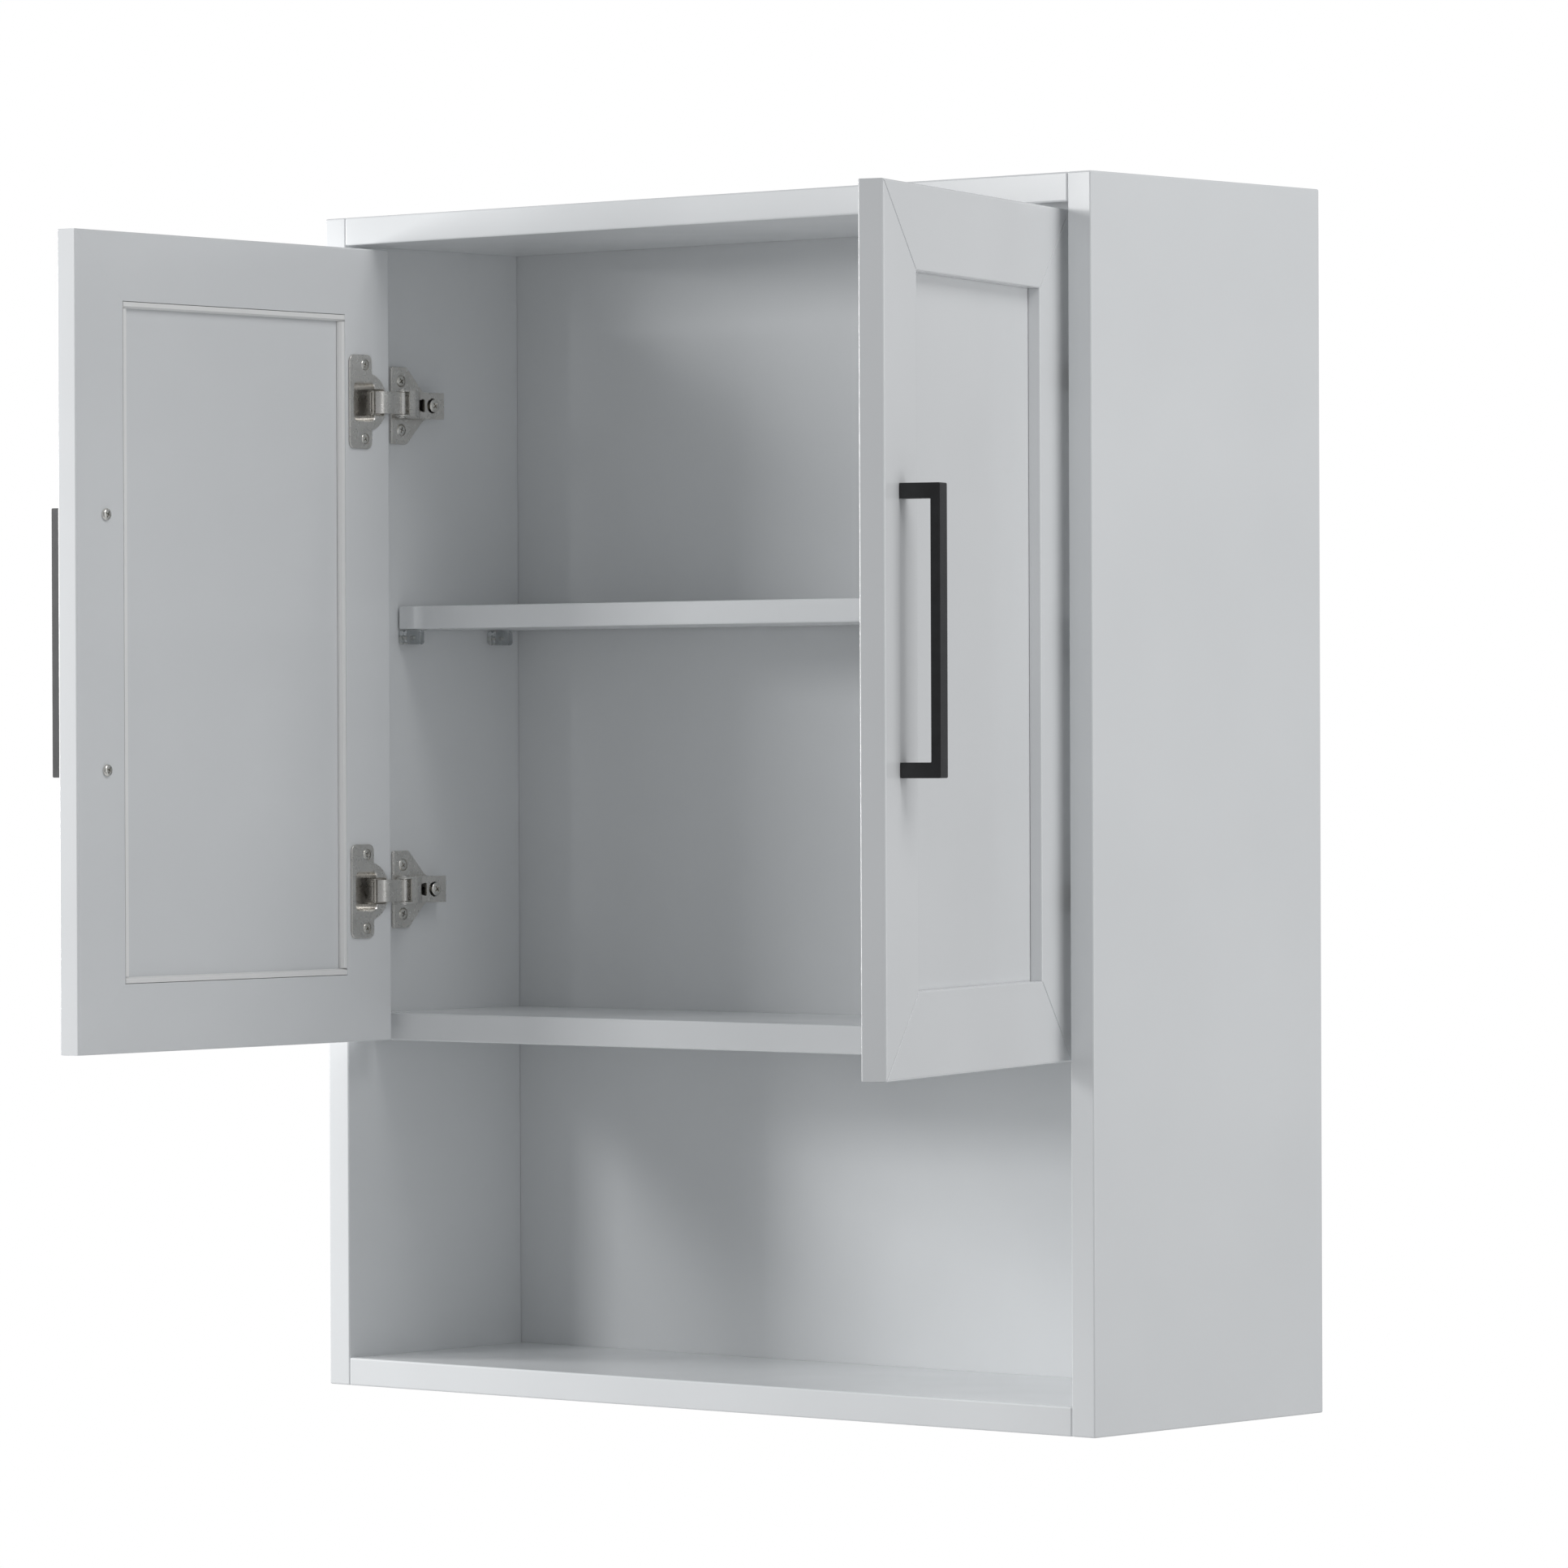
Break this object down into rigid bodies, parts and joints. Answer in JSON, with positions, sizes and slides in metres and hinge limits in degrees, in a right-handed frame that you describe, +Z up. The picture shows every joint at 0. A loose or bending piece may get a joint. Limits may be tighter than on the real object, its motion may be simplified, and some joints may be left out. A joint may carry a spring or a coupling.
{
  "type": "hanging wall cabinet",
  "caption": "White hanging wall cabinet with framed doors on concealed cup hinges, slim black bar handles, an inner shelf behind the doors and an open niche below; doors stand open.",
  "frame": {"origin": "middle of the upper hanging rail's rear face, which lies against the wall", "axes": "+Y from the doors into the wall, +Z up, +X to the right as seen from in front"},
  "size_m": [0.7198, 0.5106, 0.762],
  "materials": {
    "case_paint": "satin white lacquer",
    "door_paint": "satin white lacquer",
    "panel_paint": "satin white lacquer",
    "bead_paint": "satin white lacquer",
    "back_paint": "satin white lacquer",
    "raw_board": "unpainted softwood",
    "nickel": "nickel plating",
    "zinc_steel": "bright zinc plating",
    "black_metal": "satin black coating",
    "clear_plastic": "clear gloss"
  },
  "bodies": {
    "root": {"side_panel_left": "case_paint", "side_panel_right": "case_paint", "top_panel": "case_paint", "bottom_panel": "case_paint", "middle_panel": "case_paint", "back_panel": "back_paint", "hanging_rail_upper": "raw_board", "hanging_rail_lower": "raw_board", "hanger_plate_left": "zinc_steel", "hanger_plate_right": "zinc_steel", "inner_shelf": "case_paint", "shelf_pin_left_front": "clear_plastic", "shelf_pin_left_rear": "clear_plastic", "hinge_arm_left_upper": "nickel", "hinge_plate_left_upper": "nickel", "hinge_pin_left_upper": "zinc_steel", "hinge_arm_left_lower": "nickel", "hinge_plate_left_lower": "nickel", "hinge_pin_left_lower": "zinc_steel", "shelf_pin_right_front": "clear_plastic", "shelf_pin_right_rear": "clear_plastic", "hinge_arm_right_upper": "nickel", "hinge_plate_right_upper": "nickel", "hinge_pin_right_upper": "zinc_steel", "hinge_arm_right_lower": "nickel", "hinge_plate_right_lower": "nickel", "hinge_pin_right_lower": "zinc_steel"},
    "door_left": {"door_left_hinge_stile": "door_paint", "door_left_free_stile": "door_paint", "door_left_top_rail": "door_paint", "door_left_bottom_rail": "door_paint", "door_left_panel": "panel_paint", "door_left_bead_top": "bead_paint", "door_left_bead_bottom": "bead_paint", "door_left_bead_hinge_side": "bead_paint", "door_left_bead_free_side": "bead_paint", "handle_left": "black_metal", "handle_screw_left_upper": "zinc_steel", "hinge_cup_left_upper": "nickel", "handle_screw_left_lower": "zinc_steel", "hinge_cup_left_lower": "nickel"},
    "hinge_link_left_upper": {"hinge_link_left_upper": "nickel"},
    "hinge_link_left_lower": {"hinge_link_left_lower": "nickel"},
    "door_right": {"door_right_hinge_stile": "door_paint", "door_right_free_stile": "door_paint", "door_right_top_rail": "door_paint", "door_right_bottom_rail": "door_paint", "door_right_panel": "panel_paint", "door_right_bead_top": "bead_paint", "door_right_bead_bottom": "bead_paint", "door_right_bead_hinge_side": "bead_paint", "door_right_bead_free_side": "bead_paint", "handle_right": "black_metal", "handle_screw_right_upper": "zinc_steel", "hinge_cup_right_upper": "nickel", "handle_screw_right_lower": "zinc_steel", "hinge_cup_right_lower": "nickel"},
    "hinge_link_right_upper": {"hinge_link_right_upper": "nickel"},
    "hinge_link_right_lower": {"hinge_link_right_lower": "nickel"}
  },
  "joints": [
    {"name": "door_left_hinge", "type": "hinge", "parent": "root", "child": "door_left", "pos_m": [-0.289, -0.2232, -0.231], "axis": [0, 0, -1], "range_deg": [-87, 23]},
    {"name": "hinge_link_left_upper_pivot", "type": "hinge", "parent": "root", "child": "hinge_link_left_upper", "pos_m": [-0.2755, -0.2026, -0.073], "axis": [0, 0, -1], "range_deg": [-6.9, 26.1]},
    {"name": "hinge_link_left_lower_pivot", "type": "hinge", "parent": "root", "child": "hinge_link_left_lower", "pos_m": [-0.2755, -0.2026, -0.391], "axis": [0, 0, -1], "range_deg": [-6.9, 26.1]},
    {"name": "door_right_hinge", "type": "hinge", "parent": "root", "child": "door_right", "pos_m": [0.289, -0.2232, -0.231], "axis": [0, 0, 1], "range_deg": [-108, 2]},
    {"name": "hinge_link_right_upper_pivot", "type": "hinge", "parent": "root", "child": "hinge_link_right_upper", "pos_m": [0.2755, -0.2026, -0.073], "axis": [0, 0, 1], "range_deg": [-0.6, 32.4]},
    {"name": "hinge_link_right_lower_pivot", "type": "hinge", "parent": "root", "child": "hinge_link_right_lower", "pos_m": [0.2755, -0.2026, -0.391], "axis": [0, 0, 1], "range_deg": [-0.6, 32.4]}
  ],
  "couplings": [
    {"joint": "hinge_link_left_upper_pivot", "follows": "door_left_hinge", "ratio": -0.3},
    {"joint": "hinge_link_left_lower_pivot", "follows": "door_left_hinge", "ratio": -0.3},
    {"joint": "hinge_link_right_upper_pivot", "follows": "door_right_hinge", "ratio": -0.3},
    {"joint": "hinge_link_right_lower_pivot", "follows": "door_right_hinge", "ratio": -0.3}
  ]
}
